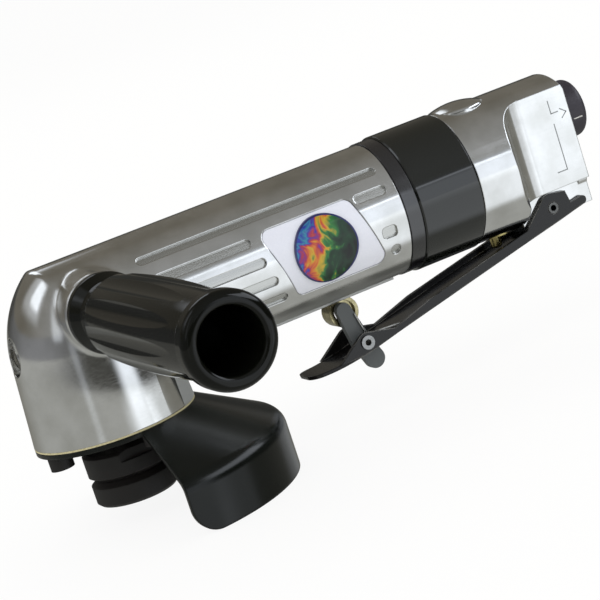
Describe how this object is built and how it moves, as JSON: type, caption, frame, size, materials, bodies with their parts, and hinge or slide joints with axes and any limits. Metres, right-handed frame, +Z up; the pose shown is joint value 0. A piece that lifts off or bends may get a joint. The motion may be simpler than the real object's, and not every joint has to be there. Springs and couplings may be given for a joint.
{
  "type": "air angle grinder",
  "caption": "Pneumatic angle grinder: polished barrel with bevel gear head, half wheel guard, fluted side handle, turning exhaust sleeve, rear air regulator and safety throttle lever.",
  "frame": {"origin": "on the spindle axis, at the plane where the two wheel flanges meet", "axes": "+X back along the barrel towards the air inlet, +Z up the spindle towards the head's crown, side handle towards -Y"},
  "size_m": [0.2284, 0.1994, 0.0941],
  "materials": {
    "polished_casting": "polished",
    "machined_aluminium": "turned",
    "bright_steel": "bright",
    "machined_steel": "ground",
    "dark_steel": "dull zinc",
    "black_steel": "matte black oxide",
    "black_paint": "semi-gloss powder coat",
    "black_ring": "satin black",
    "gloss_black": "moulded gloss",
    "knob_plastic": "moulded satin",
    "label_silver": "pale satin film",
    "badge_enamel": "dark glossy swirl",
    "gasket_card": "oiled card",
    "felt": "felt",
    "seal_rubber": "matte",
    "brass": "turned",
    "screen_mesh": "woven wire",
    "champagne_anodised": "champagne anodised",
    "vane_laminate": "phenolic laminate"
  },
  "bodies": {
    "body": {"main_housing": "polished_casting", "grease_plug": "bright_steel", "label_plate": "label_silver", "badge_disc": "badge_enamel", "bearing_cap": "machined_aluminium", "guard_gasket": "gasket_card", "wheel_guard": "black_paint", "guard_screws": "black_steel", "upper_bearing": "bright_steel", "lower_bearing": "bright_steel", "cylinder_liner": "machined_steel", "front_plate": "machined_steel", "rear_plate": "machined_steel", "front_bearing": "bright_steel", "rear_bearing": "bright_steel", "exhaust_ring": "black_ring", "silencer_felt": "felt", "housing_seal": "seal_rubber", "valve_housing": "polished_casting", "valve_bush": "brass", "valve_seal": "seal_rubber", "valve_spring": "bright_steel", "inlet_screen": "screen_mesh", "lever_pin": "bright_steel", "hanger_eye": "champagne_anodised", "handle_grip": "gloss_black", "handle_stud": "bright_steel"},
    "spindle": {"spindle": "machined_steel", "bevel_gear": "machined_steel", "inner_flange": "black_steel", "flange_nut": "black_steel", "lower_race": "bright_steel", "upper_race": "bright_steel"},
    "rotor": {"rotor": "machined_steel", "vanes": "vane_laminate", "bevel_pinion": "machined_steel", "front_race": "bright_steel", "rear_race": "bright_steel"},
    "lever": {"throttle_lever": "black_paint", "tab_pin": "bright_steel", "lock_spring": "bright_steel"},
    "lock_tab": {"lock_tab": "dark_steel"},
    "valve": {"valve_stem": "brass", "valve_poppet": "brass"},
    "regulator": {"regulator_knob": "knob_plastic", "regulator_spool": "brass", "regulator_ring": "seal_rubber"},
    "sleeve": {"exhaust_sleeve": "gloss_black"}
  },
  "joints": [
    {"name": "spindle_spin", "type": "hinge", "parent": "body", "child": "spindle", "pos_m": [0, 0, 0], "axis": [0, 0, 1], "continuous": true},
    {"name": "rotor_spin", "type": "hinge", "parent": "body", "child": "rotor", "pos_m": [0.066, 0, 0.0514], "axis": [1, 0, 0], "continuous": true},
    {"name": "lever_press", "type": "hinge", "parent": "body", "child": "lever", "pos_m": [0.1758, 0, 0.0301], "axis": [0, 1, 0], "range_deg": [0, 4.5], "stiffness_Nm_per_rad": 2, "springref_deg": -8.59},
    {"name": "valve_push", "type": "slide", "parent": "body", "child": "valve", "axis": [0, 0, 1], "range_m": [0, 0.0017], "deforming": ["valve_spring"]},
    {"name": "lock_fold", "type": "hinge", "parent": "lever", "child": "lock_tab", "pos_m": [0.09228, -0.0033, 0.01081], "axis": [0, -1, 0], "range_deg": [0, 54.5], "deforming": ["lock_spring"]},
    {"name": "regulator_turn", "type": "hinge", "parent": "body", "child": "regulator", "pos_m": [0.19, 0, 0.0604], "axis": [1, 0, 0], "range_deg": [0, 90]},
    {"name": "sleeve_turn", "type": "hinge", "parent": "body", "child": "sleeve", "pos_m": [0.132, 0, 0.0514], "axis": [1, 0, 0], "continuous": true}
  ],
  "couplings": [
    {"joint": "rotor_spin", "follows": "spindle_spin", "ratio": 1.6154},
    {"joint": "valve_push", "follows": "lever_press", "m_per_rad": 0.021},
    {"joint": "lock_fold", "follows": "lever_press", "ratio": 12}
  ]
}
